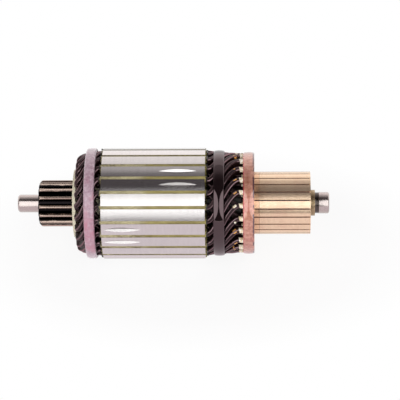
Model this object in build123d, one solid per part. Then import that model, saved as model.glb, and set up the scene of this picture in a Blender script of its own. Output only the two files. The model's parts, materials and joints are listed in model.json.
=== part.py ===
from build123d import *
import math
import os

# Motor armature, lying along X, in millimetres. The origin is on the shaft's axis, at the shoulder
# that the commutator-end bearing seats against. +X points out of the commutator end, +Z is up.
# Angles about the axis are in degrees, from +Y towards +Z.

# Winding layout
SLOT_COUNT = 23             # slots in the core, and as many coils and commutator bars
COIL_SPAN = 6               # slots from the upper side of a coil to its lower side
COMMUTATOR_SPAN = 12        # bars from a coil's first bar to its second
BOTTOM = -90.0              # slot 0 faces straight down, and so does a flat of each band
BAR_TURN_ANGLE = -1.0       # the bars sit this far round from the slots
PITCH = 360 / SLOT_COUNT
OVERSHOOT = 1.0             # how far a cutting tool reaches past the surface that it cuts

# Lengths along the shaft, each from the one before, going from the bearing shoulder to the drive end
BEARING_SEAT_LENGTH = 8.0
COLLAR_LENGTH = 2.6         # bush standing out of the commutator
BRUSH_TRACK_LENGTH = 31.2
RISER_LENGTH = 6.2
COMMUTATOR_END_OVERHANG = 21.0      # coils between the risers and the core
CORE_LENGTH = 57.1
DRIVE_END_OVERHANG = 14.1           # coils between the core and the tips of their noses
FLANGE_GAP = 0.8            # noses to the flange of the insulating ring
FLANGE_THICKNESS = 1.7
PINION_LENGTH = 19.7
TIP_LENGTH = 12.1

# Shaft
TIP_DIAMETER = 10.0
TIP_CHAMFER = 0.8
CORE_SEAT_DIAMETER = 18.0
COMMUTATOR_SEAT_DIAMETER = 12.6
BEARING_SEAT_DIAMETER = 12.0
SEAT_CHAMFER = 0.6
CENTRE_RADIUS = 1.6         # lathe centres, drilled in both ends
CENTRE_DEPTH = 2.4
CORE_SEAT_RUNOUT = 4.0      # core seat past the core, towards the commutator

# Pinion, cut on the shaft
PINION_TEETH = 15
PINION_MODULE = 1.5
PINION_SHIFT = 0.17         # profile shift, in modules
TOOTH_ADDENDUM = 1.0        # above and below the pitch circle, in modules
TOOTH_DEDENDUM = 1.25
PRESSURE_ANGLE = 20.0
PINION_TURN_ANGLE = 5.8     # angle of a tooth's centre
PINION_CHAMFER_LENGTH = 1.2
PINION_CHAMFER_DEPTH = 1.4
TOOTH_ROOTING = 1.0         # how far a tooth reaches into the root circle

# Core
CORE_DIAMETER = 62.0
SLOT_OPENING = 1.8
LIP_THICKNESS = 0.9
LIP_SLOPE = 0.35            # how far the lips' undersides slope down to the slot's side

# Balancing cuts, milled into the tops of four teeth by a disc with a sharp edge
CUTTER_RADIUS = 55.0
CUTTER_EDGE_ANGLE = 110.0
BALANCE_CUT_DEPTH = 1.0
BALANCE_CUTS = {12: 14.9, 13: 14.9, 16: 45.8, 17: 45.8}     # tooth: distance from the core's face

# Slot liners
LINER_THICKNESS = 0.3
LAYER_SPACER = 0.5          # between the two conductors in a slot, and in a riser
LINER_STANDOUT = 1.4

# Conductors
CONDUCTOR_WIDTH = 2.6
CONDUCTOR_DEPTH = 4.1
CONDUCTOR_CLEARANCE = 0.05
SLOT_LEAD = 0.9             # straight lead past the liner, before the bend
RISER_LEAD = 3.0            # straight lead in front of the riser
RISER_END_GAP = 0.5         # conductor ends stop this far inside the riser's outer face
LEAD_BENDS = (              # each bend of a lead: share of its length, share of its turn
    (0, 0),
    (0.37, 0.42),
    (0.74, 0.84),
    (1, 1),
)
NOSE_RISE = 1.3             # how far the nose bends past the end of the helix
NOSE_DROOP = 1.5            # how far both layers sink on their way to the nose
NOSE_HELIX_SHARE = 0.455    # of a coil's span, for each of the helices to its nose
NOSE_CROSSING_SHARE = 0.68  # share of the step between the layers that is taken steeply
NOSE_CROSSING_ANGLE = 2.4   # turned through on the steep step

# Commutator
BRUSH_TRACK_DIAMETER = 35.0
RISER_DROP = 3.0            # tops of the risers below the core's surface
BAR_GAP = 0.75
BAR_FOOT_RADIUS = 12.4
BAR_NOTCH_DEPTH = 2.4       # dovetail notches in both ends of a bar
BAR_NOTCH_HEIGHT = 3.2
BAR_NOTCH_RAKE = 0.6
UNDERCUT_DEPTH = 0.8        # hub ribs below the brush track
BUSH_DIAMETER = 14.5
HUB_END_INSET = 0.6

# Binding bands
DRIVE_BAND_PROUD = 0.06     # its flats stand this far out of the core, so the part lies on one
DRIVE_BAND_WIDTH = 5.8
DRIVE_BAND_OFFSET = 3.7     # from the core's face
COIL_BAND_THICKNESS = 0.6
COIL_BAND_WIDTH = 6.0
COIL_BAND_OFFSET = 4.6      # from the core's face
RISER_BAND_THICKNESS = 0.6
BAND_SIDES = 2              # for each slot: a band is wound straight from one edge to the next

# Insulating ring at the drive end
FLANGE_DIAMETER = 38.0
SLEEVE_THICKNESS = 1.5

# Places along the axis
track_start = -COLLAR_LENGTH
riser_outer = track_start - BRUSH_TRACK_LENGTH
riser_inner = riser_outer - RISER_LENGTH
core_commutator_face = riser_inner - COMMUTATOR_END_OVERHANG
core_drive_face = core_commutator_face - CORE_LENGTH
nose_tip = core_drive_face - DRIVE_END_OVERHANG
flange_inner = nose_tip - FLANGE_GAP
flange_outer = flange_inner - FLANGE_THICKNESS
pinion_outer = flange_outer - PINION_LENGTH
shaft_tip = pinion_outer - TIP_LENGTH

# Radii of the slots, and of the conductors' centres in the slots and in the risers
core_radius = CORE_DIAMETER / 2
half_slot = CONDUCTOR_WIDTH / 2 + CONDUCTOR_CLEARANCE + LINER_THICKNESS
half_window = CONDUCTOR_DEPTH / 2 + CONDUCTOR_CLEARANCE
slot_shoulder_radius = core_radius - LIP_THICKNESS - LIP_SLOPE
liner_top_radius = slot_shoulder_radius - CONDUCTOR_CLEARANCE
upper_slot_radius = liner_top_radius - LINER_THICKNESS - half_window
lower_slot_radius = upper_slot_radius - 2 * half_window - LAYER_SPACER
slot_floor_radius = lower_slot_radius - half_window - LINER_THICKNESS
riser_radius = core_radius - RISER_DROP
upper_riser_radius = math.sqrt(riser_radius ** 2 - CONDUCTOR_WIDTH ** 2 / 4) - CONDUCTOR_DEPTH / 2
lower_riser_radius = upper_riser_radius - CONDUCTOR_DEPTH - LAYER_SPACER

# Radii of the pinion
pinion_pitch_radius = PINION_TEETH * PINION_MODULE / 2
pinion_tip_radius = pinion_pitch_radius + (TOOTH_ADDENDUM + PINION_SHIFT) * PINION_MODULE
pinion_root_radius = pinion_pitch_radius - (TOOTH_DEDENDUM - PINION_SHIFT) * PINION_MODULE


def turned(points):
    """A solid of revolution about the shaft's axis, from its half section in (x, radius) points."""
    section = make_face(Polyline(*points, close=True))
    return revolve(section, Axis.X)


def turned_about(part, angle):
    return Rot(angle, 0, 0) * part


def polar(x, radius, angle):
    turn = math.radians(angle)
    return Vector(x, radius * math.cos(turn), radius * math.sin(turn))


def cross_section(outline):
    """Puts a sketch drawn in (y, z) into the plane across the axis, at x = 0."""
    return Plane.YZ * outline


# Shaft and pinion

def tooth_half_angle(radius):
    """Half the angle that an involute tooth of the pinion fills at a radius, in degrees."""
    pressure = math.radians(PRESSURE_ANGLE)
    base_radius = pinion_pitch_radius * math.cos(pressure)
    at_pitch = (math.pi / 2 + 2 * PINION_SHIFT * math.tan(pressure)) / PINION_TEETH
    if radius <= base_radius:
        slope = 0.0
    else:
        slope = math.acos(base_radius / radius)
    flank = (math.tan(pressure) - pressure) - (math.tan(slope) - slope)
    return math.degrees(at_pitch + flank)


def pinion_tooth():
    """One tooth in (y, z), rooted inside the root circle. Each flank is two flats."""
    radii = (pinion_root_radius, pinion_pitch_radius, pinion_tip_radius)
    flank = []
    for radius in radii:
        turn = math.radians(tooth_half_angle(radius))
        flank.append((radius * math.cos(turn), radius * math.sin(turn)))
    other_flank = [(y, -z) for y, z in reversed(flank)]
    root = (pinion_root_radius - TOOTH_ROOTING, 0)
    return make_face(Polyline(root, *flank, *other_flank, close=True))


def pinion():
    tooth = pinion_tooth()
    step = 360 / PINION_TEETH
    gear = Circle(pinion_root_radius)
    gear += [Rot(0, 0, PINION_TURN_ANGLE + step * index) * tooth for index in range(PINION_TEETH)]
    blank = extrude(cross_section(gear), PINION_LENGTH)
    chamfered = turned([
        (0, 0),
        (0, pinion_tip_radius - PINION_CHAMFER_DEPTH),
        (PINION_CHAMFER_LENGTH, pinion_tip_radius),
        (PINION_LENGTH, pinion_tip_radius),
        (PINION_LENGTH, 0),
    ])
    return Pos(pinion_outer, 0, 0) * (blank & chamfered)


def shaft():
    tip = TIP_DIAMETER / 2
    seat = BEARING_SEAT_DIAMETER / 2
    core_seat = CORE_SEAT_DIAMETER / 2
    commutator_seat = COMMUTATOR_SEAT_DIAMETER / 2
    step = core_commutator_face + CORE_SEAT_RUNOUT
    body = turned([
        (shaft_tip + CENTRE_DEPTH, 0),
        (shaft_tip, CENTRE_RADIUS),
        (shaft_tip, tip - TIP_CHAMFER),
        (shaft_tip + TIP_CHAMFER, tip),
        (pinion_outer, tip),
        (pinion_outer, core_seat),
        (step, core_seat),
        (step, commutator_seat),
        (0, commutator_seat),
        (0, seat),
        (BEARING_SEAT_LENGTH - SEAT_CHAMFER, seat),
        (BEARING_SEAT_LENGTH, seat - SEAT_CHAMFER),
        (BEARING_SEAT_LENGTH, CENTRE_RADIUS),
        (BEARING_SEAT_LENGTH - CENTRE_DEPTH, 0),
    ])
    return body + pinion()


# Core

def slot_outline():
    """A half-closed slot in (y, z), pointing along +y, open past the core's surface."""
    mouth = SLOT_OPENING / 2
    lip = core_radius - LIP_THICKNESS
    side = [
        (slot_floor_radius, half_slot),
        (slot_shoulder_radius, half_slot),
        (lip, mouth),
        (core_radius + OVERSHOOT, mouth),
    ]
    other_side = [(y, -z) for y, z in reversed(side)]
    return make_face(Polyline(*side, *other_side, close=True))


def balancing_disc():
    """The cutter for a balancing cut, a disc with a sharp edge that touches y = 0 from above."""
    half_width = BALANCE_CUT_DEPTH * math.tan(math.radians(CUTTER_EDGE_ANGLE / 2))
    hub = CUTTER_RADIUS - BALANCE_CUT_DEPTH
    section = Plane.YZ * make_face(Polyline(
        (CUTTER_RADIUS, 0),
        (0, 0),
        (0, half_width),
        (hub, half_width),
        close=True,
    ))
    half = revolve(section, Axis.Z)
    return Pos(0, CUTTER_RADIUS, 0) * (half + mirror(half, Plane.XY))


def lamination_stack():
    plate = Circle(core_radius) - Circle(CORE_SEAT_DIAMETER / 2)
    slot = slot_outline()
    plate -= [Rot(0, 0, BOTTOM + PITCH * index) * slot for index in range(SLOT_COUNT)]
    stack = Pos(core_drive_face, 0, 0) * extrude(cross_section(plate), CORE_LENGTH)
    cutter = balancing_disc()
    for tooth, distance in BALANCE_CUTS.items():
        angle = BOTTOM + PITCH * (tooth + 0.5)
        place = Pos(core_commutator_face - distance, core_radius - BALANCE_CUT_DEPTH, 0)
        stack -= turned_about(place * cutter, angle)
    return stack


def slot_liners():
    """Folded paper round both conductors of each slot, one liner a slot."""
    outline = make_face(Polyline(
        (slot_floor_radius, half_slot),
        (liner_top_radius, half_slot),
        (liner_top_radius, -half_slot),
        (slot_floor_radius, -half_slot),
        close=True,
    ))
    outline -= make_face(Polyline(
        (slot_floor_radius + LINER_THICKNESS, half_slot - LINER_THICKNESS),
        (liner_top_radius - LINER_THICKNESS, half_slot - LINER_THICKNESS),
        (liner_top_radius - LINER_THICKNESS, LINER_THICKNESS - half_slot),
        (slot_floor_radius + LINER_THICKNESS, LINER_THICKNESS - half_slot),
        close=True,
    ))
    length = CORE_LENGTH + 2 * LINER_STANDOUT
    liner = Pos(core_drive_face - LINER_STANDOUT, 0, 0) * extrude(cross_section(outline), length)
    return Compound([turned_about(liner, BOTTOM + PITCH * index) for index in range(SLOT_COUNT)])


# Coils

def section_corners(points, angles):
    """The corners of the conductor's section at each point of its path.

    Each section lies across the bend there, and its depth stays as nearly radial as it can."""
    sections = []
    for index, point in enumerate(points):
        along = Vector(0, 0, 0)
        if index > 0:
            along += (point - points[index - 1]).normalized()
        if index < len(points) - 1:
            along += (points[index + 1] - point).normalized()
        along = along.normalized()
        outward = polar(0, 1, angles[index])
        outward = (outward - along * outward.dot(along)).normalized()
        depth = outward * (CONDUCTOR_DEPTH / 2)
        width = along.cross(outward) * (CONDUCTOR_WIDTH / 2)
        sections.append([
            point + width + depth,
            point - width + depth,
            point - width - depth,
            point + width - depth,
        ])
    return sections


def flat(*corners):
    return Face(Wire.make_polygon(corners))


def conductor(stations):
    """A bent flat conductor along stations of (x, radius, angle).

    Each side between two sections is twisted, so it is folded along its shorter diagonal."""
    points = [polar(*station) for station in stations]
    sections = section_corners(points, [angle for x, radius, angle in stations])
    sides = [flat(*sections[0]), flat(*sections[-1])]
    for near, far in zip(sections, sections[1:]):
        for first, second in ((0, 1), (1, 2), (2, 3), (3, 0)):
            a, b, c, d = near[first], near[second], far[second], far[first]
            if (a - c).length < (b - d).length:
                sides += [flat(a, b, c), flat(a, c, d)]
            else:
                sides += [flat(a, b, d), flat(b, c, d)]
    return Solid(Shell(sides))


def between(start, end, share):
    return start + (end - start) * share


def commutator_end_stations(slot_angle, bar_angle, slot_radius, bar_radius):
    """Stations from the mouth of a slot to the end of the conductor in its riser."""
    liner_end = core_commutator_face + LINER_STANDOUT
    helix_start = liner_end + SLOT_LEAD
    helix_end = riser_inner - RISER_LEAD
    stations = [(liner_end, slot_radius, slot_angle)]
    # The lead leaves the slot on a steep helix and eases into line with its riser.
    for along, around in LEAD_BENDS:
        stations.append((
            between(helix_start, helix_end, along),
            between(slot_radius, bar_radius, along),
            between(slot_angle, bar_angle, around),
        ))
    stations.append((riser_outer - RISER_END_GAP, bar_radius, bar_angle))
    return stations


def nose_stations(upper_angle, lower_angle):
    """Stations round the drive end, from the upper slot over the twisted nose to the lower slot."""
    liner_end = core_drive_face - LINER_STANDOUT
    helix_start = liner_end - SLOT_LEAD
    tip_centre = nose_tip + CONDUCTOR_WIDTH / 2
    helix_end = tip_centre + NOSE_RISE
    helix_turn = (lower_angle - upper_angle) * NOSE_HELIX_SHARE
    upper_helix = [(liner_end, upper_slot_radius, upper_angle)]
    lower_helix = [(liner_end, lower_slot_radius, lower_angle)]
    for share in (0, 0.5, 1):
        x = between(helix_start, helix_end, share)
        sink = NOSE_DROOP * share
        upper_helix.append((x, upper_slot_radius - sink, upper_angle + helix_turn * share))
        lower_helix.append((x, lower_slot_radius - sink, lower_angle - helix_turn * share))
    # Over the nose the conductor dives steeply from the upper layer to the lower one.
    middle_radius = between(lower_slot_radius, upper_slot_radius, 0.5) - NOSE_DROOP
    middle_angle = between(upper_angle, lower_angle, 0.5)
    dive = (upper_slot_radius - lower_slot_radius) * NOSE_CROSSING_SHARE / 2
    upper_nose = (tip_centre, middle_radius + dive, middle_angle - NOSE_CROSSING_ANGLE / 2)
    lower_nose = (tip_centre, middle_radius - dive, middle_angle + NOSE_CROSSING_ANGLE / 2)
    return upper_helix + [upper_nose, lower_nose] + lower_helix[::-1]


def coil():
    """The coil whose upper side lies in slot 0, with slot 0 along +Y."""
    lead = PITCH * (COMMUTATOR_SPAN - COIL_SPAN) / 2
    lower_angle = PITCH * COIL_SPAN
    upper_bar = BAR_TURN_ANGLE - lead
    lower_bar = lower_angle + lead + BAR_TURN_ANGLE
    upper_lead = commutator_end_stations(0, upper_bar, upper_slot_radius, upper_riser_radius)
    lower_lead = commutator_end_stations(lower_angle, lower_bar, lower_slot_radius, lower_riser_radius)
    return conductor(upper_lead[::-1] + nose_stations(0, lower_angle) + lower_lead)


# Commutator

def bar_wedge():
    """The sector that one bar fills, in (y, z), with half the gap taken off each side."""
    half_pitch = math.radians(PITCH / 2)
    reach = 2 * riser_radius
    start = BAR_GAP / 2 / math.sin(half_pitch)
    side = (reach - start) * math.tan(half_pitch)
    return make_face(Polyline((start, 0), (reach, -side), (reach, side), close=True))


def bar_blank():
    """A bar along +Y before it is turned: a drawn wedge with a riser and a dovetailed foot."""
    notch_top = BAR_FOOT_RADIUS + BAR_NOTCH_HEIGHT
    notch_floor = notch_top - BAR_NOTCH_RAKE
    outline = make_face(Polyline(
        (track_start, notch_top),
        (track_start, riser_radius),
        (riser_inner, riser_radius),
        (riser_inner, notch_top),
        (riser_outer + BAR_NOTCH_DEPTH, notch_floor),
        (riser_outer, BAR_FOOT_RADIUS),
        (track_start, BAR_FOOT_RADIUS),
        (track_start - BAR_NOTCH_DEPTH, notch_floor),
        close=True,
    ))
    plate = extrude(outline, riser_radius, both=True)
    wedge = extrude(cross_section(bar_wedge()), track_start - riser_inner)
    return plate & (Pos(riser_inner, 0, 0) * wedge)


def turned_commutator():
    """Everything inside the finished commutator's turned outside."""
    track = BRUSH_TRACK_DIAMETER / 2
    return turned([
        (riser_inner, 0),
        (riser_inner, riser_radius),
        (riser_outer, riser_radius),
        (riser_outer, track),
        (track_start, track),
        (track_start, 0),
    ])


def bar():
    """One finished bar along +Y, with the slot for its two conductors in the riser."""
    slot_floor = lower_riser_radius - CONDUCTOR_DEPTH / 2 - CONDUCTOR_CLEARANCE
    slot_height = riser_radius - slot_floor + OVERSHOOT
    slot_width = CONDUCTOR_WIDTH + 2 * CONDUCTOR_CLEARANCE
    place = Pos((riser_inner + riser_outer) / 2, slot_floor + slot_height / 2, 0)
    slot = place * Box(RISER_LENGTH, slot_height, slot_width)
    return (bar_blank() & turned_commutator()) - slot


def bar_angle(index):
    return BOTTOM + BAR_TURN_ANGLE + PITCH * index


def commutator_hub():
    """The moulding between the bush and the bars. Its ribs stand between the bars."""
    bush = BUSH_DIAMETER / 2
    rib_top = BRUSH_TRACK_DIAMETER / 2 - UNDERCUT_DEPTH
    moulding = turned([
        (track_start - HUB_END_INSET, bush),
        (track_start - HUB_END_INSET, rib_top),
        (riser_inner, rib_top),
        (riser_inner, bush),
    ])
    blank = bar_blank()
    return moulding - [turned_about(blank, bar_angle(index)) for index in range(SLOT_COUNT)]


def commutator_bush():
    return turned([
        (0, COMMUTATOR_SEAT_DIAMETER / 2),
        (0, BUSH_DIAMETER / 2),
        (riser_inner, BUSH_DIAMETER / 2),
        (riser_inner, COMMUTATOR_SEAT_DIAMETER / 2),
    ])


# Bands and ring

def band(start, width, inner_radius, outer_radius):
    """A binding band from x = start towards +X. Both radii are those of its flats."""
    sides = BAND_SIDES * SLOT_COUNT
    inner = RegularPolygon(inner_radius, sides, major_radius=False)
    outer = RegularPolygon(outer_radius, sides, major_radius=False)
    return Pos(start, 0, 0) * extrude(cross_section(outer - inner), width)


def over_conductors(centre_radius):
    """The radius of the corners of the upper layer, where its centre is at centre_radius."""
    return math.hypot(centre_radius + CONDUCTOR_DEPTH / 2, CONDUCTOR_WIDTH / 2)


def drive_band():
    start = core_drive_face - DRIVE_BAND_OFFSET - DRIVE_BAND_WIDTH
    inner = over_conductors(upper_slot_radius)
    return band(start, DRIVE_BAND_WIDTH, inner, core_radius + DRIVE_BAND_PROUD)


def coil_band():
    start = core_commutator_face + COIL_BAND_OFFSET
    share = COIL_BAND_OFFSET / COMMUTATOR_END_OVERHANG
    inner = over_conductors(between(upper_slot_radius, upper_riser_radius, share))
    return band(start, COIL_BAND_WIDTH, inner, inner + COIL_BAND_THICKNESS)


def riser_band():
    return band(riser_inner, RISER_LENGTH, riser_radius, riser_radius + RISER_BAND_THICKNESS)


def insulating_ring():
    bore = CORE_SEAT_DIAMETER / 2
    sleeve = bore + SLEEVE_THICKNESS
    return turned([
        (flange_outer, bore),
        (flange_outer, FLANGE_DIAMETER / 2),
        (flange_inner, FLANGE_DIAMETER / 2),
        (flange_inner, sleeve),
        (core_drive_face, sleeve),
        (core_drive_face, bore),
    ])


def write(part, name):
    export_step(part, os.path.join("parts", name + ".step"))


def main():
    os.makedirs("parts", exist_ok=True)
    one_bar = bar()
    one_coil = coil()
    write(shaft(), "shaft")
    write(lamination_stack(), "lamination_stack")
    write(slot_liners(), "slot_liners")
    for index in range(SLOT_COUNT):
        write(turned_about(one_coil, BOTTOM + PITCH * index), f"coil_{index + 1:02d}")
        write(turned_about(one_bar, bar_angle(index)), f"commutator_bar_{index + 1:02d}")
    write(commutator_hub(), "commutator_hub")
    write(commutator_bush(), "commutator_bush")
    write(drive_band(), "drive_band")
    write(coil_band(), "coil_band")
    write(riser_band(), "riser_band")
    write(insulating_ring(), "insulating_ring")


main()
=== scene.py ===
import bpy
import json
import math
import random
from mathutils import Matrix, Vector


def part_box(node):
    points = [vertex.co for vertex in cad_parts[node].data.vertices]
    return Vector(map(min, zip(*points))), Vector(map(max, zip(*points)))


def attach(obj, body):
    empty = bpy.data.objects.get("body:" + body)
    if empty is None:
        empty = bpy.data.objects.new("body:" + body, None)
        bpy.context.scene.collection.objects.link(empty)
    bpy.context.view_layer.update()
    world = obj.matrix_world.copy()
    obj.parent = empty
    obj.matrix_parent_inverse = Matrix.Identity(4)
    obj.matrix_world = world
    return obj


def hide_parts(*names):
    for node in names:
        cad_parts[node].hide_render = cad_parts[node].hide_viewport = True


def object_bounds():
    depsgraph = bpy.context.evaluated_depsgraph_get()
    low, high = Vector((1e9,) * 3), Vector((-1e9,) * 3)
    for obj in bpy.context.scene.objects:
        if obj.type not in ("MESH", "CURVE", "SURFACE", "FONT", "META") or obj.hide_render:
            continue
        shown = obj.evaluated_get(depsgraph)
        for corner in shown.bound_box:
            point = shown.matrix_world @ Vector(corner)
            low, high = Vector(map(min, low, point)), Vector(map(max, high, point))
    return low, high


# Motor armature. The row frame is in metres: +X along the shaft, out of the commutator end, +Z up.
# The origin is on the axis, at the shoulder of the commutator-end bearing seat. Angles about the
# axis are in degrees, from +Y towards +Z. The lengths of the armature are in millimetres here.

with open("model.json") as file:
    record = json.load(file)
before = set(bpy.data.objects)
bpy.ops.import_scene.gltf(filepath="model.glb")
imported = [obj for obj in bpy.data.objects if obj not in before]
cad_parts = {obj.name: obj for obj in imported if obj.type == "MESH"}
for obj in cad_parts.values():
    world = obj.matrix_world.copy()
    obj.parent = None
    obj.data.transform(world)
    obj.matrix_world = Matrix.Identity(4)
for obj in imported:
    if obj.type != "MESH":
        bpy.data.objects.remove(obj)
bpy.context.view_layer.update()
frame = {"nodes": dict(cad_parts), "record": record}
nodes = frame["nodes"]
random.seed(23)

MM = 0.001
SLOTS = 23
PITCH = 360 / SLOTS
BOTTOM = -90.0              # slot 0 faces straight down


# Places on the CAD model, read from its boxes

def low(node, axis):
    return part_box(node)[0][axis] / MM


def high(node, axis):
    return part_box(node)[1][axis] / MM


core_drive_face = low("lamination_stack", 0)
core_commutator_face = high("lamination_stack", 0)
core_radius = high("lamination_stack", 1)
riser_inner = low("commutator_bar_01", 0)
shaft_tip = low("shaft", 0)
seat_end = high("shaft", 0)
nose_tip = low("coil_01", 0)
flange_outer = low("insulating_ring", 0)


# Sizes that the looks need too

PINION_LENGTH = 19.7
pinion_outer = flange_outer - PINION_LENGTH
WORN_FROM = 11.2            # the teeth begin to be worn at this radius
WORN_BRIGHT = 12.7          # and are worn bright at this one
GROOVE_END = 2.2            # end of the groove beside the bearing seat, painted dark as the collar's shadow
FRAYED_END = -96.0          # the paper is frayed from the drive end of the core to here
SHADED_EDGE_RADIUS = 23.6          # radii between the two layers of conductors, over which their edges go from a fifth to fully rubbed; the lower layer's dimmer edges are painted shade
UNSHADED_EDGE_RADIUS = 25.6          # edges go from lightly to fully rubbed
NECK_END = -31.1            # where the turned track begins, beside the risers
REDDEST_HEIGHT = 5.0           # the pink band's red clouds are densest at this height


# Mesh helpers

def between(start, end, share):
    return start + (end - start) * share


def polar(x, radius, angle):
    turn = math.radians(angle)
    return Vector((x, radius * math.cos(turn), radius * math.sin(turn)))


def add_mesh(name, points, faces, smooth_angle=30.0, marks=None):
    """A mesh object from points in millimetres. marks has lists with a number for each point."""
    mesh = bpy.data.meshes.new(name)
    mesh.from_pydata([Vector(p) * MM for p in points], [], faces)
    mesh.validate()
    mesh.update()
    for mark, values in (marks or {}).items():
        mesh.attributes.new(mark, "FLOAT", "POINT").data.foreach_set("value", values)
    mesh.shade_smooth()
    mesh.set_sharp_from_angle(angle=math.radians(smooth_angle))
    piece = bpy.data.objects.new(name, mesh)
    bpy.context.scene.collection.objects.link(piece)
    return piece


def joined_rings(here, there, count):
    """Faces between two closed rings of points, each given by the number of its first point."""
    faces = []
    for index in range(count):
        after = (index + 1) % count
        faces.append((here + index, here + after, there + after, there + index))
    return faces


def turned(name, profile, steps, smooth_angle=30.0):
    """A ring about X from a closed profile of (x, radius)."""
    count = len(profile)
    points = []
    faces = []
    for step in range(steps):
        angle = 360 * step / steps
        points += [polar(x, radius, angle) for x, radius in profile]
        faces += joined_rings(step * count, (step + 1) % steps * count, count)
    return add_mesh(name, points, faces, smooth_angle)


def spindle(name, profile, steps):
    """A solid of revolution about X whose profile of (x, radius) begins and ends on the axis."""
    inner = profile[1:-1]
    count = len(inner)
    points = []
    faces = []
    for step in range(steps):
        angle = 360 * step / steps
        points += [polar(x, radius, angle) for x, radius in inner]
    first = len(points)
    last = first + 1
    points += [Vector((profile[0][0], 0, 0)), Vector((profile[-1][0], 0, 0))]
    for step in range(steps):
        here = step * count
        there = (step + 1) % steps * count
        for index in range(count - 1):
            faces.append((here + index, here + index + 1, there + index + 1, there + index))
        faces.append((first, here, there))
        faces.append((here + count - 1, last, there + count - 1))
    return add_mesh(name, points, faces)


# Material helpers

class Graph:
    """A small builder for the nodes of a material or of the world."""

    def __init__(self, tree, coordinates):
        self.tree = tree
        self.place = self.node("ShaderNodeTexCoord").outputs[coordinates]
        split = self.node("ShaderNodeSeparateXYZ")
        self.link(self.place, split.inputs[0])
        self.x, self.y, self.z = split.outputs

    def node(self, kind, **values):
        node = self.tree.nodes.new(kind)
        for key, value in values.items():
            setattr(node, key, value)
        return node

    def link(self, source, target):
        self.tree.links.new(source, target)

    def feed(self, socket, value):
        """Links a socket, or sets a number or colour, on an input."""
        if isinstance(value, bpy.types.NodeSocket):
            self.link(value, socket)
        else:
            socket.default_value = value

    def maths(self, operation, first, second=None, third=None, clamp=False):
        node = self.node("ShaderNodeMath", operation=operation, use_clamp=clamp)
        for index, value in enumerate((first, second, third)):
            if value is not None:
                self.feed(node.inputs[index], value)
        return node.outputs[0]

    def ranged(self, value, start, end, to_start=0.0, to_end=1.0):
        node = self.node("ShaderNodeMapRange")
        self.feed(node.inputs["Value"], value)
        node.inputs["From Min"].default_value = start
        node.inputs["From Max"].default_value = end
        node.inputs["To Min"].default_value = to_start
        node.inputs["To Max"].default_value = to_end
        return node.outputs["Result"]

    def mixed(self, factor, first, second):
        node = self.node("ShaderNodeMix", data_type="RGBA")
        self.feed(node.inputs[0], factor)
        for socket, value in ((node.inputs[6], first), (node.inputs[7], second)):
            if isinstance(value, tuple):
                value = (*value, 1.0)
            self.feed(socket, value)
        return node.outputs[2]

    def away_from(self, value, place):
        """The distance of a value in metres from a place in millimetres, on either side."""
        return self.maths("ABSOLUTE", self.maths("SUBTRACT", value, place * MM))

    def stretched(self, scale, location=(0, 0, 0)):
        node = self.node("ShaderNodeMapping")
        node.inputs["Scale"].default_value = scale
        node.inputs["Location"].default_value = location
        self.link(self.place, node.inputs["Vector"])
        return node.outputs[0]

    def radius(self):
        """Distance from the shaft's axis."""
        squares = self.maths(
            "ADD",
            self.maths("MULTIPLY", self.y, self.y),
            self.maths("MULTIPLY", self.z, self.z),
        )
        return self.maths("SQRT", squares)

    def round_place(self, around):
        """Place as (x, angle times around, radius), for streaks that run round the axis."""
        angle = self.maths("ARCTAN2", self.z, self.y)
        join = self.node("ShaderNodeCombineXYZ")
        self.link(self.x, join.inputs["X"])
        self.link(self.maths("MULTIPLY", angle, around), join.inputs["Y"])
        self.link(self.radius(), join.inputs["Z"])
        return join.outputs[0]

    def noise(self, scale, detail, roughness, place=None):
        node = self.node("ShaderNodeTexNoise")
        node.inputs["Scale"].default_value = scale
        node.inputs["Detail"].default_value = detail
        node.inputs["Roughness"].default_value = roughness
        self.link(self.place if place is None else place, node.inputs["Vector"])
        return node.outputs["Fac"]


class Look(Graph):
    """A material with one Principled shader."""

    def __init__(self, name):
        self.material = bpy.data.materials.new(name)
        self.material.use_nodes = True
        super().__init__(self.material.node_tree, "Object")
        self.shader = self.tree.nodes["Principled BSDF"]

    def set(self, **values):
        """Sets inputs of the shader. The names are theirs, in small letters with underscores."""
        for key, value in values.items():
            name = key.replace("_", " ")
            for socket in self.shader.inputs:
                if socket.name.lower() == name:
                    socket.default_value = value
                    break
            else:
                raise KeyError(name)

    def colour(self, value):
        self.link(value, self.shader.inputs["Base Color"])

    def roughness(self, value):
        self.link(value, self.shader.inputs["Roughness"])

    def brushed(self, amount):
        """Marks that run round the axis spread reflections along it."""
        node = self.node("ShaderNodeTangent", direction_type="RADIAL", axis="X")
        self.link(node.outputs[0], self.shader.inputs["Tangent"])
        self.set(anisotropic=amount, anisotropic_rotation=0.25)

    def bump(self, height, distance, strength):
        """Adds a bump, on top of those added before. distance is in metres."""
        node = self.node("ShaderNodeBump")
        node.inputs["Distance"].default_value = distance
        node.inputs["Strength"].default_value = strength
        self.link(height, node.inputs["Height"])
        normal = self.shader.inputs["Normal"]
        if normal.is_linked:
            self.link(normal.links[0].from_socket, node.inputs["Normal"])
        self.link(node.outputs["Normal"], normal)


def core_look():
    """Ground steel teeth over the edges of the laminations."""
    look = Look("core_steel")
    look.set(metallic=1.0)
    streaks = look.noise(900, 2, 0.5, look.round_place(0.004))
    clouds = look.noise(90, 2, 0.5, look.stretched((0.25, 1.0, 1.0)))
    tone = look.ranged(look.maths("MULTIPLY_ADD", streaks, 0.6, clouds), 0.5, 1.1)
    look.colour(look.mixed(tone, (0.62, 0.60, 0.59), (0.70, 0.68, 0.67)))
    look.roughness(look.ranged(clouds, 0.3, 0.7, 0.24, 0.27))
    look.brushed(1.0)
    return look.material


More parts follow.
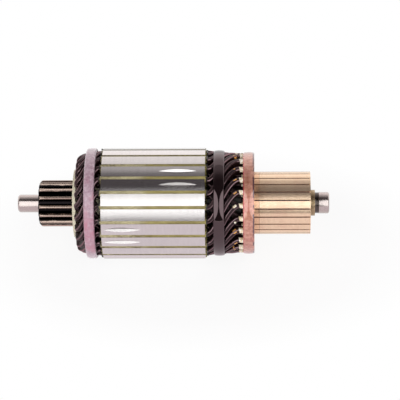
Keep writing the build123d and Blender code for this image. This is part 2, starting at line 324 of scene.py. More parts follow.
def shaft_look():
    """Ground ends, an oily pinion worn bright along its teeth, black where it is soaked, and a
    painted shadow of the collar in the groove beside the bearing seat.
    """
    look = Look("shaft_steel")
    look.set(metallic=1.0)
    grime = look.noise(420, 4, 0.65, look.stretched((0.45, 1.0, 1.0)))
    lines = look.noise(2600, 2, 0.5, look.round_place(0.002))
    on_pinion = look.ranged(look.x, (pinion_outer - 0.1) * MM, (pinion_outer + 0.1) * MM)
    tip_wear = look.ranged(look.radius(), WORN_FROM * MM, WORN_BRIGHT * MM)
    patches = look.ranged(look.maths("ADD", tip_wear, grime), 1.02, 1.32)
    steel = look.mixed(look.ranged(lines, 0.35, 0.65), (0.48, 0.42, 0.40), (0.56, 0.50, 0.475))
    toothed = look.mixed(patches, (0.012, 0.010, 0.011), (0.46, 0.36, 0.30))
    # the groove beside the bearing seat is painted dark: a painted shadow of the collar
    past_groove = look.ranged(look.x, (GROOVE_END - 0.1) * MM, (GROOVE_END + 0.1) * MM)
    collar_shadow = look.mixed(past_groove, (0.10, 0.085, 0.08), steel)
    near_seat = look.ranged(look.x, -0.2 * MM, 0.0)
    ends = look.mixed(near_seat, steel, collar_shadow)
    outside = look.mixed(on_pinion, steel, look.mixed(near_seat, toothed, ends))
    past_ring = look.ranged(look.x, flange_outer * MM, (flange_outer + 0.5) * MM)
    past_risers = look.ranged(look.x, riser_inner * MM, (riser_inner + 0.5) * MM)
    soaked = look.maths("SUBTRACT", past_ring, past_risers)
    look.colour(look.mixed(soaked, outside, (0.012, 0.009, 0.009)))
    look.roughness(look.ranged(grime, 0.3, 0.7, 0.2, 0.3))
    look.brushed(0.8)
    before_seat = look.maths("SUBTRACT", on_pinion, near_seat)
    look.bump(look.maths("MULTIPLY", grime, before_seat), 0.0001, 0.15)
    return look.material


def paper_look():
    """Olive insulating paper, paler where frayed, and soaked in black varnish outside the core."""
    look = Look("slot_paper")
    fibres = look.noise(1500, 4, 0.7, look.stretched((0.5, 1.0, 1.0)))
    stains = look.noise(190, 3, 0.6, look.stretched((0.35, 1.0, 1.0)))
    tone = look.ranged(look.maths("ADD", fibres, stains), 0.7, 1.3)
    even = look.mixed(tone, (0.17, 0.135, 0.03), (0.42, 0.36, 0.13))
    frayed = look.mixed(tone, (0.15, 0.115, 0.035), (0.60, 0.54, 0.31))
    past_frays = look.ranged(look.x, FRAYED_END * MM, (FRAYED_END + 4) * MM)
    dry = look.mixed(past_frays, frayed, even)
    half_core = (core_commutator_face - core_drive_face) / 2 * MM
    from_middle = look.away_from(look.x, (core_drive_face + core_commutator_face) / 2)
    standing_out = look.maths("MULTIPLY", look.maths("SUBTRACT", from_middle, half_core), 1 / MM)
    patches = look.noise(700, 3, 0.6)
    soaked = look.ranged(look.maths("MULTIPLY_ADD", patches, 2.4, standing_out), 1.6, 2.0)
    look.colour(look.mixed(soaked, dry, (0.012, 0.008, 0.005)))
    look.set(roughness=0.5, coat_weight=0.25, coat_roughness=0.25)
    look.bump(fibres, 0.0002, 0.3)
    return look.material


VARNISH_TINT = (1.0, 0.74, 0.78, 1.0)


def varnish_look():
    """Black-brown varnish with rubbed edges, dimmed on the lower layer as painted shade.

    The mark is 1 where the copper is bared and -1 where it is scraped."""
    look = Look("varnished_copper")
    runs = look.noise(260, 3, 0.5)
    fine = look.noise(900, 3, 0.6)
    dark = look.mixed(look.ranged(runs, 0.4, 0.7), (0.004, 0.001, 0.001), (0.013, 0.003, 0.003))
    bare = look.mixed(look.ranged(fine, 0.4, 0.6), (0.70, 0.56, 0.34), (0.95, 0.92, 0.80))
    mark = look.node("ShaderNodeAttribute", attribute_name="mark").outputs["Fac"]
    bared = look.ranged(mark, 0.45, 0.55)
    scraped = look.ranged(mark, -0.55, -0.45, 1.0, 0.0)
    varnish = look.mixed(scraped, dark, (0.72, 0.36, 0.10))
    edge = look.node("ShaderNodeAttribute", attribute_name="edge").outputs["Fac"]
    # the lower layer's edges keep only a fifth of the rubbing: painted shade, where it lies deep
    # under the upper layer
    outer = look.ranged(look.radius(), SHADED_EDGE_RADIUS * MM, UNSHADED_EDGE_RADIUS * MM)
    rubbed_and_shaded = look.maths("MULTIPLY", edge, look.maths("MULTIPLY_ADD", outer, 0.8, 0.2))
    covered = look.mixed(rubbed_and_shaded, varnish, (0.18, 0.12, 0.13))
    look.colour(look.mixed(bared, covered, bare))
    unspotted = look.maths("SUBTRACT", 1.0, look.maths("MAXIMUM", bared, scraped))
    worn_and_shaded_edge = look.maths("MULTIPLY", rubbed_and_shaded, unspotted)
    look.link(worn_and_shaded_edge, look.shader.inputs["Metallic"])
    gloss = look.maths("MULTIPLY_ADD", worn_and_shaded_edge, -0.32, 0.48)
    look.roughness(look.mixed(bared, gloss, (0.45, 0.45, 0.45)))
    look.set(ior=1.4, specular_tint=VARNISH_TINT)
    look.bump(runs, 0.0004, 0.35)
    return look.material


def copper_look():
    """The turned brush track and risers, browned here and there, with a redder neck between."""
    look = Look("commutator_copper")
    look.set(metallic=0.8)
    lines = look.noise(1800, 2, 0.5, look.round_place(0.003))
    heat = look.noise(75, 3, 0.6, look.stretched((1.0, 1.4, 1.4)))
    tone = look.mixed(look.ranged(lines, 0.3, 0.7), (0.82, 0.61, 0.42), (0.88, 0.67, 0.48))
    browned = look.mixed(look.ranged(heat, 0.5, 0.8, 0.0, 0.8), tone, (0.70, 0.46, 0.33))
    at_neck = look.ranged(look.x, (NECK_END + 0.3) * MM, (NECK_END - 0.3) * MM)
    necked = look.mixed(at_neck, browned, (0.84, 0.56, 0.37))
    on_line = look.ranged(look.away_from(look.x, NECK_END), 0.08 * MM, 0.2 * MM, 0.6, 0.0)
    look.colour(look.mixed(on_line, necked, (0.35, 0.15, 0.08)))
    look.roughness(look.ranged(lines, 0.3, 0.7, 0.23, 0.25))
    look.brushed(0.9)
    return look.material


def moulding_look():
    """Dark brown moulding compound."""
    look = Look("moulding")
    grain = look.noise(900, 4, 0.6)
    tone = look.ranged(grain, 0.35, 0.65)
    look.colour(look.mixed(tone, (0.05, 0.018, 0.012), (0.13, 0.05, 0.035)))
    look.roughness(look.ranged(grain, 0.3, 0.7, 0.45, 0.65))
    look.bump(grain, 0.0001, 0.3)
    return look.material


def brass_look():
    """Tarnished brass."""
    look = Look("bush_brass")
    look.set(metallic=1.0)
    grain = look.noise(500, 4, 0.6)
    look.colour(look.mixed(look.ranged(grain, 0.35, 0.65), (0.30, 0.22, 0.12), (0.52, 0.41, 0.27)))
    look.roughness(look.ranged(grain, 0.3, 0.7, 0.3, 0.5))
    look.bump(grain, 0.0001, 0.2)
    return look.material


def pink_band_look():
    """Pink resin-soaked cord, mottled, with redder clouds that are densest at one height."""
    look = Look("pink_band")
    turns = look.noise(1500, 2, 0.5, look.round_place(0.002))
    speckle = look.noise(650, 4, 0.7)
    clouds = look.noise(110, 4, 0.65)
    tone = look.mixed(look.ranged(speckle, 0.35, 0.68), (0.31, 0.17, 0.23), (0.575, 0.44, 0.50))
    near_reddest_height = look.ranged(look.away_from(look.z, REDDEST_HEIGHT), 19 * MM, 4 * MM, 0.0, 0.2)
    resin = look.ranged(look.maths("ADD", clouds, near_reddest_height), 0.52, 0.76)
    look.colour(look.mixed(resin, tone, (0.46, 0.17, 0.24)))
    look.roughness(look.ranged(speckle, 0.3, 0.7, 0.4, 0.6))
    look.set(sheen_weight=1.0, sheen_roughness=0.3)
    look.set(coat_weight=1.0, coat_roughness=0.3, coat_ior=1.6)
    look.bump(turns, 0.0002, 0.4)
    look.bump(speckle, 0.0002, 0.3)
    return look.material


def dark_band_look():
    """Maroon, nearly black varnish, smooth as glass."""
    look = Look("dark_band")
    clouds = look.noise(120, 3, 0.6)
    tone = look.ranged(clouds, 0.35, 0.7)
    look.colour(look.mixed(tone, (0.002, 0.0007, 0.0007), (0.004, 0.0013, 0.0013)))
    look.set(roughness=0.05, ior=1.85, specular_tint=VARNISH_TINT)
    look.bump(clouds, 0.0003, 0.07)
    return look.material


def riser_binding_look():
    """Copper-pink tape under clear resin, red along one edge and sooty along the other."""
    look = Look("riser_binding")
    start = low("riser_band", 0)
    end = high("riser_band", 0)
    speckle = look.noise(520, 4, 0.7)
    clouds = look.noise(90, 3, 0.6, look.stretched((0.4, 1.0, 1.0)))
    tone = look.mixed(look.ranged(speckle, 0.35, 0.68), (0.42, 0.15, 0.09), (0.72, 0.37, 0.27))
    resin = look.mixed(look.ranged(clouds, 0.55, 0.8), tone, (0.48, 0.12, 0.11))
    red_edge = look.ranged(look.x, (start + 0.7) * MM, (start + 0.3) * MM)
    edged = look.mixed(red_edge, resin, (0.50, 0.04, 0.06))
    at_end = look.ranged(look.x, (end - 1.1) * MM, (end - 0.7) * MM)
    patches = look.ranged(look.noise(210, 2, 0.5), 0.42, 0.5)
    soot = look.maths("MULTIPLY", at_end, patches)
    look.colour(look.mixed(soot, edged, (0.10, 0.03, 0.04)))
    look.set(metallic=0.5, roughness=0.4, coat_weight=1.0, coat_roughness=0.05, coat_ior=1.8)
    look.bump(speckle, 0.0002, 0.25)
    return look.material


def cream_look():
    """Cream insulating board, stained in places."""
    look = Look("cream_insulation")
    fibres = look.noise(700, 4, 0.65)
    stains = look.noise(110, 3, 0.6)
    tone = look.mixed(look.ranged(fibres, 0.35, 0.65), (0.90, 0.82, 0.60), (0.98, 0.92, 0.72))
    look.colour(look.mixed(look.ranged(stains, 0.6, 0.85), tone, (0.55, 0.45, 0.27)))
    look.roughness(look.ranged(fibres, 0.3, 0.7, 0.5, 0.7))
    look.bump(fibres, 0.0002, 0.3)
    return look.material


looks = {
    "core_steel": core_look(),
    "shaft_steel": shaft_look(),
    "slot_paper": paper_look(),
    "varnished_copper": varnish_look(),
    "commutator_copper": copper_look(),
    "moulding": moulding_look(),
    "bush_brass": brass_look(),
    "pink_band": pink_band_look(),
    "dark_band": dark_band_look(),
    "riser_binding": riser_binding_look(),
    "cream_insulation": cream_look(),
}

for entry in frame["record"]["subparts"]:
    node = nodes[entry["node"]]
    if node.material_slots:
        for place in node.material_slots:
            place.material = looks[entry["material_slot"]]
    else:
        node.data.materials.append(looks[entry["material_slot"]])


def finish_piece(piece, slot, *replaced):
    """Gives a piece its look and its body, and hides the CAD nodes that it stands in for."""
    piece.data.materials.append(looks[slot])
    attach(piece, "root")
    if replaced:
        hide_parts(*replaced)


# Shaft and pinion, with lathe centres, rounded edges and worn involute teeth

PINION_TEETH = 15
PINION_MODULE = 1.5
PINION_SHIFT = 0.17         # profile shift, in modules
PRESSURE = math.radians(20.0)
PINION_TURN_ANGLE = 5.8     # angle of a tooth's centre
FLANK_STEPS = 8
pinion_pitch = PINION_TEETH * PINION_MODULE / 2
pinion_tip = pinion_pitch + (1 + PINION_SHIFT) * PINION_MODULE
pinion_root = pinion_pitch - (1.25 - PINION_SHIFT) * PINION_MODULE

# Stations along the teeth: distance in from the outer end, highest radius there
PINION_STATIONS = [
    (0.0, 10.7),
    (0.0, 11.2),
    (0.35, 11.75),
    (0.8, 12.3),
    (1.25, 12.75),
    (1.8, pinion_tip),
    (5.0, pinion_tip),
    (9.0, pinion_tip),
    (13.0, pinion_tip),
    (17.0, pinion_tip),
    (PINION_LENGTH, pinion_tip),
]

SPINDLE_STEPS = 96
CENTRE_MOUTH = 1.6          # radius of the lathe centres at the end faces
CENTRE_HOLE = 0.5           # radius of the hole at their bottom
CENTRE_DEPTH = 2.4
TIP_RADIUS = 5.0
CORE_SEAT_RADIUS = 9.0
CORE_SEAT_RUNOUT = 4.0      # the core's seat runs this far out of the core
COLLAR_SEAT_RADIUS = 6.3
GROOVE_RADIUS = 5.82
SEAT_RADIUS = 6.0


def tooth_half_angle(radius):
    base = pinion_pitch * math.cos(PRESSURE)
    at_pitch = (math.pi / 2 + 2 * PINION_SHIFT * math.tan(PRESSURE)) / PINION_TEETH
    slope = 0.0 if radius <= base else math.acos(base / radius)
    return math.degrees(at_pitch + (math.tan(PRESSURE) - PRESSURE) - (math.tan(slope) - slope))


def tooth_outline():
    """(radius, angle) round one tooth and half the gap on each side of it."""
    half_gap = 180 / PINION_TEETH
    at_root = tooth_half_angle(pinion_root)
    # the floor of the gap and the rounded corner beside it
    flank = [
        (pinion_root, half_gap * 0.96),
        (pinion_root, at_root + 1.1),
        (pinion_root + 0.12, at_root + 0.35),
    ]
    for step in range(1, FLANK_STEPS + 1):
        radius = between(pinion_root, pinion_tip - 0.3, step / FLANK_STEPS)
        flank.append((radius, tooth_half_angle(radius)))
    # the worn corner at the tip, and the middle of its top
    at_tip = tooth_half_angle(pinion_tip)
    flank += [(pinion_tip - 0.1, at_tip - 0.1), (pinion_tip, at_tip - 0.75), (pinion_tip, 0.0)]
    return [(radius, -angle) for radius, angle in flank[:-1]] + flank[::-1]


def pinion_piece():
    outline = tooth_outline()
    points = []
    faces = []
    for distance, highest in PINION_STATIONS:
        for tooth in range(PINION_TEETH):
            centre = PINION_TURN_ANGLE + 360 * tooth / PINION_TEETH
            for radius, angle in outline:
                points.append(polar(pinion_outer + distance, min(radius, highest), centre + angle))
    ring = len(outline) * PINION_TEETH
    last = len(points) - ring
    for here in range(0, last, ring):
        faces += joined_rings(here, here + ring, ring)
    for start, x in ((0, pinion_outer), (last, flange_outer)):
        hub = len(points)
        points.append(Vector((x, 0, 0)))
        for index in range(ring):
            faces.append((start + index, start + (index + 1) % ring, hub))
    return add_mesh("pinion_teeth", points, faces, smooth_angle=32.0)


def shaft_piece():
    return spindle("shaft_body", [
        (shaft_tip + CENTRE_DEPTH, 0),
        (shaft_tip + CENTRE_DEPTH, CENTRE_HOLE),
        (shaft_tip + 1.6, CENTRE_HOLE + 0.1),
        (shaft_tip, CENTRE_MOUTH),
        (shaft_tip, TIP_RADIUS - 0.9),
        (shaft_tip + 0.25, TIP_RADIUS - 0.65),
        (shaft_tip + 0.75, TIP_RADIUS - 0.15),
        (shaft_tip + 1.1, TIP_RADIUS),
        (pinion_outer - 0.5, TIP_RADIUS),
        (pinion_outer - 0.12, TIP_RADIUS + 0.12),
        (pinion_outer, TIP_RADIUS + 0.5),
        (pinion_outer, CORE_SEAT_RADIUS),
        (core_commutator_face + CORE_SEAT_RUNOUT, CORE_SEAT_RADIUS),
        (core_commutator_face + CORE_SEAT_RUNOUT, COLLAR_SEAT_RADIUS),
        (0, COLLAR_SEAT_RADIUS),
        (0, GROOVE_RADIUS + 0.08),
        (0.15, GROOVE_RADIUS + 0.03),
        (0.35, GROOVE_RADIUS),
        (GROOVE_END - 0.3, GROOVE_RADIUS),
        (GROOVE_END - 0.1, SEAT_RADIUS - 0.1),
        (GROOVE_END, SEAT_RADIUS),
        (seat_end - 0.7, SEAT_RADIUS),
        (seat_end - 0.55, SEAT_RADIUS - 0.07),
        (seat_end - 0.08, SEAT_RADIUS - 0.55),
        (seat_end, SEAT_RADIUS - 0.7),
        (seat_end, CENTRE_MOUTH),
        (seat_end - 1.6, CENTRE_HOLE + 0.1),
        (seat_end - CENTRE_DEPTH, CENTRE_HOLE),
        (seat_end - CENTRE_DEPTH, 0),
    ], SPINDLE_STEPS)


finish_piece(shaft_piece(), "shaft_steel", "shaft")
finish_piece(pinion_piece(), "shaft_steel", "shaft")


# Bands: smooth crowned rings in place of the CAD's many-sided ones

BAND_STEPS = 8 * SLOTS
CROWN_STEPS = 24


def crowned_band(name, node, slot, bore, crown, edge):
    """crown is how far the middle stands above the shoulders, edge their rounding."""
    start = low(node, 0)
    end = high(node, 0)
    outer = -low(node, 2)       # the band lies on a flat, so this is the radius of its flats
    middle = (start + end) / 2
    half = (end - start) / 2
    profile = []
    for step in range(CROWN_STEPS + 1):
        share = -1 + 2 * step / CROWN_STEPS
        corner = max(0.0, abs(share) * half - (half - edge))
        rounding = edge - math.sqrt(max(0.0, edge * edge - corner * corner))
        profile.append((middle + half * share, outer - crown * share * share - rounding))
    profile += [(end, bore), (start, bore)]
    finish_piece(turned(name, profile, BAND_STEPS, smooth_angle=40.0), slot, node)


crowned_band("drive_binding", "drive_band", "pink_band", 29.5, 0.25, 1.1)
crowned_band("coil_binding", "coil_band", "dark_band", 29.1, 0.4, 0.5)
crowned_band("riser_binding_ring", "riser_band", "riser_binding", 28.0, 0.4, 0.4)


# Slot paper: its folded edges stand up in the mouths of the slots, and fray at the drive end

STRIP_TOP = 30.5
STRIP_BASE = 29.9
STRIP_HALF_WIDTH = 0.86
STRIP_STEP = 0.8
STRIP_COLUMNS = 6
STRIP_CLEARANCE = 0.08      # fibres stay this far under the core's surface
EVEN_EDGE = 0.06            # how uneven the top of a strip is
FRAYED_EDGE = 0.22
FIBRE_SHARE = 0.35          # share of fibres that stand up, for each millimetre of unevenness
FIBRE_HEIGHT = 0.25
TORN_START = (0.5, 1.9)     # how far the torn ends stand out of the core, at the drive end
TORN_END = (0.2, 0.8)       # and at the commutator end
FRAYED_SPREAD = 3           # the fraying ends this far before or after FRAYED_END


def strip_stations():
    """(x, unevenness of the edge) along one strip, whose ends are torn at random."""
    start = core_drive_face - random.uniform(*TORN_START)
    end = core_commutator_face + random.uniform(*TORN_END)
    count = round((end - start) / STRIP_STEP)
    stations = []
    for index in range(count + 1):
        x = between(start, end, index / count)
        frayed = x < FRAYED_END + random.uniform(-FRAYED_SPREAD, FRAYED_SPREAD)
        stations.append((x, FRAYED_EDGE if frayed else EVEN_EDGE))
    return stations


def strip_section(uneven):
    """(distance across, radius) round one section of a strip."""
    section = [(-STRIP_HALF_WIDTH, STRIP_BASE)]
    for column in range(STRIP_COLUMNS):
        across = between(-STRIP_HALF_WIDTH, STRIP_HALF_WIDTH, column / (STRIP_COLUMNS - 1))
        top = STRIP_TOP + random.uniform(-uneven, uneven)
        if random.random() < uneven * FIBRE_SHARE:
            top += FIBRE_HEIGHT
        section.append((across, min(top, core_radius - STRIP_CLEARANCE)))
    section.append((STRIP_HALF_WIDTH, STRIP_BASE))
    return section


def paper_edges_piece():
    points = []
    faces = []
    ring = STRIP_COLUMNS + 2
    for slot in range(SLOTS):
        middle = BOTTOM + PITCH * slot
        first = len(points)
        for x, uneven in strip_stations():
            for across, radius in strip_section(uneven):
                points.append(polar(x, radius, middle + math.degrees(across / radius)))
        last = len(points) - ring
        for here in range(first, last, ring):
            faces += joined_rings(here, here + ring, ring)
        faces.append(tuple(range(first, first + ring))[::-1])
        faces.append(tuple(range(last, last + ring)))
    return add_mesh("slot_paper_edges", points, faces, smooth_angle=25.0)


WRAP_BORE = 9.2
WRAP_RADIUS = 18.6
WRAP_EDGE = 0.8             # bevel of its corners
WRAP_GAP = 0.3              # to the core


def lead_wrap_piece():
    """The soaked paper wound on the shaft under the coil ends, between the core and the risers."""
    start = core_commutator_face + WRAP_GAP
    end = low("commutator_hub", 0) - 0.2
    return turned("lead_wrap", [
        (start, WRAP_BORE),
        (start, WRAP_RADIUS - WRAP_EDGE),
        (start + WRAP_EDGE, WRAP_RADIUS),
        (end - WRAP_EDGE, WRAP_RADIUS),
        (end, WRAP_RADIUS - WRAP_EDGE),
        (end, WRAP_BORE),
    ], SPINDLE_STEPS)


finish_piece(paper_edges_piece(), "slot_paper")
finish_piece(lead_wrap_piece(), "slot_paper")


# Coils: smooth rounded bars through the CAD's own sections

CONDUCTOR_WIDTH = 2.6
CONDUCTOR_DEPTH = 4.1
CORNER_RADIUS = 0.8
CORNER_STEPS = 4
UPPER_SLOT_RADIUS = 27.3
LOWER_SLOT_RADIUS = 22.6
UPPER_RISER_RADIUS = 25.92
LOWER_RISER_RADIUS = 21.32
RISER_REACH = 5.7           # how far the ends reach into the risers
SLOT_REACH = 2              # how far into the slots the bends are worked out
LINER_STANDOUT = 1.4
SLOT_LEAD = 0.9
RISER_LEAD = 3.0
LEAD_BENDS = ((0, 0), (0.37, 0.42), (0.74, 0.84), (1, 1))      # shares of the length and the turn
COIL_SPAN = 6
LEAD_TURN = 3 * PITCH
BAR_TURN_ANGLE = -1.0
NOSE_RISE = 1.3
NOSE_DROOP = 1.5
NOSE_HELIX_SHARE = 0.455
NOSE_DIVE = 1.6             # half the steep step between the layers
NOSE_CROSSING_ANGLE = 2.4
TIP_ROUNDING = 1.3          # how far the outer layer sinks towards its tip, over TIP_REACH
TIP_REACH = 6.0
BARE_LENGTH = 2.4           # bared top of a conductor in front of its riser
LOWER_BARE_LENGTH = 0.9     # the same in the lower layer
SPOT_DISTANCE = 4.4         # scraped spots lie this far in front of the risers
SPOT_SPREAD = 0.5           # give or take this
SPOT_HALF_LENGTH = 0.7
SPOT_MARKS = (-1.0, -1.0, -1.0, 1.0, 0.0)       # most are scraped, some bared, some not there
STEPS_PER_STATION = 5
KNOT_POWER = 0.6            # knots of the spline lie this power of a distance apart


def lead_stations(slot_angle, bar_angle, slot_radius, bar_radius):
    """(x, radius, angle) from inside a slot to inside a riser."""
    start = core_commutator_face + LINER_STANDOUT + SLOT_LEAD
    end = riser_inner - RISER_LEAD
    stations = [(core_commutator_face - SLOT_REACH, slot_radius, slot_angle)]
    for along, around in LEAD_BENDS:
        stations.append((
            between(start, end, along),
            between(slot_radius, bar_radius, along),
            between(slot_angle, bar_angle, around),
        ))
    stations.append((riser_inner, bar_radius, bar_angle))
    stations.append((riser_inner + RISER_REACH, bar_radius, bar_angle))
    return stations


def nose_stations(upper_angle, lower_angle):
    """(x, radius, angle) from the upper slot, round the nose and back to the lower slot."""
    start = core_drive_face - LINER_STANDOUT - SLOT_LEAD
    tip_centre = nose_tip + CONDUCTOR_WIDTH / 2
    end = tip_centre + NOSE_RISE
    turn = (lower_angle - upper_angle) * NOSE_HELIX_SHARE
    upper = [(core_drive_face + SLOT_REACH, UPPER_SLOT_RADIUS, upper_angle)]
    lower = [(core_drive_face + SLOT_REACH, LOWER_SLOT_RADIUS, lower_angle)]
    for share in (0, 0.5, 1):
        x = between(start, end, share)
        sink = NOSE_DROOP * share
        upper.append((x, UPPER_SLOT_RADIUS - sink, upper_angle + turn * share))
        lower.append((x, LOWER_SLOT_RADIUS - sink, lower_angle - turn * share))
    middle_radius = (UPPER_SLOT_RADIUS + LOWER_SLOT_RADIUS) / 2 - NOSE_DROOP
    middle_angle = (upper_angle + lower_angle) / 2
    half_turn = NOSE_CROSSING_ANGLE / 2
    upper.append((tip_centre, middle_radius + NOSE_DIVE, middle_angle - half_turn))
    lower.append((tip_centre, middle_radius - NOSE_DIVE, middle_angle + half_turn))
    return upper + lower[::-1]


def coil_stations(slot_angle):
    """(x, radius, angle) along a coil, from the end of its upper lead to that of its lower one."""
    lower_slot = PITCH * COIL_SPAN
    upper_bar = BAR_TURN_ANGLE - LEAD_TURN
    lower_bar = lower_slot + LEAD_TURN + BAR_TURN_ANGLE
    upper = lead_stations(0, upper_bar, UPPER_SLOT_RADIUS, UPPER_RISER_RADIUS)
    lower = lead_stations(lower_slot, lower_bar, LOWER_SLOT_RADIUS, LOWER_RISER_RADIUS)
    stations = upper[::-1] + nose_stations(0, lower_slot) + lower
    return [(x, radius, angle + slot_angle) for x, radius, angle in stations]


def section_frames(stations):
    """The centre, half depth and half width of the bar at each station, as in the CAD."""
    points = [polar(*station) for station in stations]
    frames = []
    for index, point in enumerate(points):
        along = Vector()
        if index > 0:
            along += (point - points[index - 1]).normalized()
        if index < len(points) - 1:
            along += (points[index + 1] - point).normalized()
        along.normalize()
        outward = polar(0, 1, stations[index][2])
        outward = (outward - along * outward.dot(along)).normalized()
        depth = outward * (CONDUCTOR_DEPTH / 2)
        width = along.cross(outward) * (CONDUCTOR_WIDTH / 2)
        frames.append((point, depth, width))
    return frames


def spline(values, knots, index, share):
    """A smooth curve through vectors at uneven knots, on the span after index."""
    last = len(values) - 1
    span = knots[index + 1] - knots[index]

    def slope(at):
        before, after = max(at - 1, 0), min(at + 1, last)
        if before == at or after == at:
            return (values[after] - values[before]) / (knots[after] - knots[before])
        back = (values[at] - values[before]) / (knots[at] - knots[before])
        ahead = (values[after] - values[at]) / (knots[after] - knots[at])
        near, far = knots[at] - knots[before], knots[after] - knots[at]
        return (back * far + ahead * near) / (near + far)

    square, cube = share * share, share * share * share
    return (
        values[index] * (2 * cube - 3 * square + 1)
        + slope(index) * span * (cube - 2 * square + share)
        + values[index + 1] * (3 * square - 2 * cube)
        + slope(index + 1) * span * (cube - square)
    )


def smooth_frames(frames):
    """The same bar with smooth bends: STEPS_PER_STATION sections for each one given."""
    knots = [0.0]
    for (point, _, _), (after, _, _) in zip(frames, frames[1:]):
        knots.append(knots[-1] + (after - point).length ** KNOT_POWER)
    places = []
    for index in range(len(frames) - 1):
        places += [(index, step / STEPS_PER_STATION) for step in range(STEPS_PER_STATION)]
    places.append((len(frames) - 2, 1.0))
    centres, depths, widths = zip(*frames)
    smooth = []
    for index, share in places:
        centre = spline(centres, knots, index, share)
        depth = spline(depths, knots, index, share).normalized() * (CONDUCTOR_DEPTH / 2)
        width = spline(widths, knots, index, share)
        width -= depth * (width.dot(depth) / depth.length_squared)
        smooth.append((centre, depth, width.normalized() * (CONDUCTOR_WIDTH / 2)))
    return smooth


def rounded_section():
    """Round a rounded rectangle: (share of half depth, share of half width, 1 on the corners)."""
    corner_depth = CORNER_RADIUS / (CONDUCTOR_DEPTH / 2)
    corner_width = CORNER_RADIUS / (CONDUCTOR_WIDTH / 2)
    outline = []
    for sign_depth, sign_width, start in ((1, 1, 0), (-1, 1, 90), (-1, -1, 180), (1, -1, 270)):
        for step in range(CORNER_STEPS + 1):
            angle = math.radians(start + 90 * step / CORNER_STEPS)
            outline.append((
                sign_depth * (1 - corner_depth) + corner_depth * math.cos(angle),
                sign_width * (1 - corner_width) + corner_width * math.sin(angle),
                1.0 if 0 < step < CORNER_STEPS else 0.0,
            ))
    return outline


def coil_piece(name, slot_angle):
    """A coil with its bared ends, a spot on its upper lead and its outer edges marked."""
    spot_middle = riser_inner - SPOT_DISTANCE + random.uniform(-SPOT_SPREAD, SPOT_SPREAD)
    spot_side = random.choice((-1, 1))
    spot_mark = random.choice(SPOT_MARKS)
    between_layers = (UPPER_RISER_RADIUS + LOWER_RISER_RADIUS) / 2
    outline = rounded_section()
    points, marks, edges, faces = [], [], [], []
    for centre, depth, width in smooth_frames(section_frames(coil_stations(slot_angle))):
        upper = math.hypot(centre.y, centre.z) > between_layers
        bare_from = riser_inner - (BARE_LENGTH if upper else LOWER_BARE_LENGTH)
        on_spot = upper and abs(centre.x - spot_middle) < SPOT_HALF_LENGTH
        to_tip = max(0.0, 1 - (centre.x - nose_tip) / TIP_REACH) if upper else 0.0
        centre = centre - depth.normalized() * (TIP_ROUNDING * to_tip * to_tip)
        for out, across, corner in outline:
            points.append(centre + depth * out + width * across)
            edges.append(corner if out > 0 else 0.0)
            if centre.x > bare_from and out > 0:
                marks.append(1.0)
            elif on_spot and out > 0.5 and across * spot_side > 0:
                marks.append(spot_mark)
            else:
                marks.append(0.0)
    ring = len(outline)
    last = len(points) - ring
    for here in range(0, last, ring):
        faces += joined_rings(here, here + ring, ring)
    faces.append(tuple(range(ring))[::-1])
    faces.append(tuple(range(last, last + ring)))
    values = {"mark": marks, "edge": edges}
    return add_mesh(name, points, faces, smooth_angle=50.0, marks=values)


for index in range(SLOTS):
    number = f"{index + 1:02d}"
    piece = coil_piece(f"winding_{number}", BOTTOM + PITCH * index)
    finish_piece(piece, "varnished_copper", f"coil_{number}")


# Floor, world, lamps and camera, all in metres

CENTRE = Vector((-0.0643, 0.0, 0.0))            # the armature's middle, which the camera looks at
WHITE = (1.0, 1.0, 1.0)
FLOOR_SIZE = 3.0
FLOOR_PAINT = (0.9, 0.885, 0.9, 1.0)
FLOOR_IN_METAL = (0.95, 0.85, 0.90)             # how metal shows the floor in front of it
SHADOW_REACH = (0.14, 0.09)     # half lengths of the patch of floor that keeps the shadow
SHADOW_FADE = 0.7               # where the shadow begins to fade, as a share of that reach
GLOW_NEAR = 0.89                # share of plain white in the floor's look under the armature


def floor_look():
    """A white sheet that keeps the object's shadow, and is plain white beyond it."""
    look = Look("white_floor")
    look.set(base_color=FLOOR_PAINT, roughness=0.9, specular_ior_level=0.0)
    path = look.node("ShaderNodeLightPath").outputs
    in_front = look.ranged(look.y, 0.0, -0.02)
    in_metal = look.maths("MULTIPLY", path["Is Glossy Ray"], in_front)
    glow = look.node("ShaderNodeEmission")
    glow.inputs["Strength"].default_value = 1.0
    look.link(look.mixed(in_metal, WHITE, FLOOR_IN_METAL), glow.inputs["Color"])
    straight = look.maths("ADD", path["Is Camera Ray"], path["Is Transmission Ray"])
    seen = look.maths("ADD", straight, path["Is Glossy Ray"], clamp=True)
    across, along = 1 / SHADOW_REACH[0], 1 / SHADOW_REACH[1]
    patch = look.stretched((across, along, 0), (-CENTRE.x * across, 0, 0))
    distance = look.node("ShaderNodeVectorMath", operation="LENGTH")
    look.link(patch, distance.inputs[0])
    glowing = look.ranged(distance.outputs["Value"], SHADOW_FADE, 1.0, GLOW_NEAR, 1.0)
    mix = look.node("ShaderNodeMixShader")
    look.link(look.maths("MULTIPLY", seen, glowing), mix.inputs[0])
    look.link(look.shader.outputs[0], mix.inputs[1])
    look.link(glow.outputs[0], mix.inputs[2])
    look.link(mix.outputs[0], look.tree.nodes["Material Output"].inputs["Surface"])
    return look.material


def floor_piece():
    half = FLOOR_SIZE / 2
    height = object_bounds()[0][2]
    mesh = bpy.data.meshes.new("floor")
    corners = [(-half, -half), (half, -half), (half, half), (-half, half)]
    mesh.from_pydata([(x, y, height) for x, y in corners], [], [(0, 1, 2, 3)])
    mesh.materials.append(floor_look())
    piece = bpy.data.objects.new("floor", mesh)
    bpy.context.scene.collection.objects.link(piece)
    return piece


floor = floor_piece()

# (degrees from the horizon behind the object, over the top: share of white wall there)
STUDIO_WALL = [
    (0, 1.0),
    (18, 1.0),
    (32, 0.75),
    (47.5, 0.75),
    (49.5, 0.37),
    (58, 0.36),
    (67, 0.27),
    (77, 0.07),
    (88, 0.0),
    (180, 0.0),
]
DARK_STUDIO = (0.08, 0.07, 0.075)
WHITE_WALL = (1.35, 1.28, 1.27)


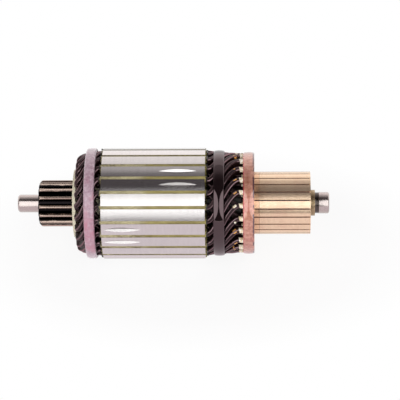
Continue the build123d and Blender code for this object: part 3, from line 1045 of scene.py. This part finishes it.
def studio_world():
    """White behind the object, dark overhead and behind the camera, white to the camera itself."""
    world = bpy.data.worlds.new("studio")
    bpy.context.scene.world = world
    world.use_nodes = True
    graph = Graph(world.node_tree, "Generated")
    half_turns = graph.maths("DIVIDE", graph.maths("ARCTAN2", graph.z, graph.y), math.pi)
    wall = graph.node("ShaderNodeValToRGB")
    graph.link(half_turns, wall.inputs[0])
    stops = wall.color_ramp.elements
    for stop, (angle, level) in zip(stops, (STUDIO_WALL[0], STUDIO_WALL[-1])):
        stop.position = angle / 180
        stop.color = (level, level, level, 1.0)
    for angle, level in STUDIO_WALL[1:-1]:
        stops.new(angle / 180).color = (level, level, level, 1.0)
    shade = graph.mixed(wall.outputs["Color"], DARK_STUDIO, WHITE_WALL)
    path = graph.node("ShaderNodeLightPath").outputs
    straight = graph.maths("ADD", path["Is Camera Ray"], path["Is Transmission Ray"], clamp=True)
    back = graph.tree.nodes["Background"]
    back.inputs["Strength"].default_value = 1.0
    graph.link(graph.mixed(straight, shade, WHITE), back.inputs["Color"])


studio_world()

SOFTBOX_AZIMUTH = 39.1      # one stands this far round on each side of the camera
SOFTBOX_ELEVATION = 29.0
SOFTBOX_DISTANCE = 1.8
SOFTBOX_DIAMETER = 2.13
SOFTBOX_RADIANCE = 1.95
CAMERA_ELEVATION = 39.7
CAMERA_AZIMUTH = 2.0
CAMERA_DISTANCE = 1.156
CAMERA_ROLL = -1.43
CAMERA_LENS = 185.2         # focal length and sensor width in millimetres
SENSOR_WIDTH = 36.0
AIM_DROP = 0.0017           # the axis stands this far below the picture's middle


def direction(azimuth, elevation):
    """From the object, at an azimuth from -Y towards +X."""
    turn = math.radians(azimuth)
    rise = math.radians(elevation)
    level = math.cos(rise)
    return Vector((math.sin(turn) * level, -math.cos(turn) * level, math.sin(rise)))


def softbox(name, azimuth):
    lamp = bpy.data.lights.new(name, "AREA")
    lamp.shape = "DISK"
    lamp.size = SOFTBOX_DIAMETER
    area = math.pi * SOFTBOX_DIAMETER ** 2 / 4
    lamp.energy = SOFTBOX_RADIANCE * math.pi * area
    holder = bpy.data.objects.new(name, lamp)
    towards = direction(azimuth, SOFTBOX_ELEVATION)
    holder.location = CENTRE + towards * SOFTBOX_DISTANCE
    holder.rotation_euler = towards.to_track_quat("Z", "Y").to_euler()
    bpy.context.scene.collection.objects.link(holder)


def place_camera():
    view = bpy.data.cameras.new("camera")
    view.lens = CAMERA_LENS
    view.sensor_width = SENSOR_WIDTH
    camera = bpy.data.objects.new("camera", view)
    towards = direction(CAMERA_AZIMUTH, CAMERA_ELEVATION)
    facing = towards.to_track_quat("Z", "Y")
    roll = Matrix.Rotation(math.radians(CAMERA_ROLL), 4, "Z")
    standing = Matrix.Translation(CENTRE + towards * CAMERA_DISTANCE)
    camera.matrix_world = standing @ facing.to_matrix().to_4x4() @ roll
    camera.location += (facing @ Vector((0, 1, 0))) * AIM_DROP
    bpy.context.scene.collection.objects.link(camera)
    bpy.context.scene.camera = camera


softbox("softbox_left", -SOFTBOX_AZIMUTH)
softbox("softbox_right", SOFTBOX_AZIMUTH)
place_camera()
bpy.context.scene.view_settings.view_transform = "Standard"
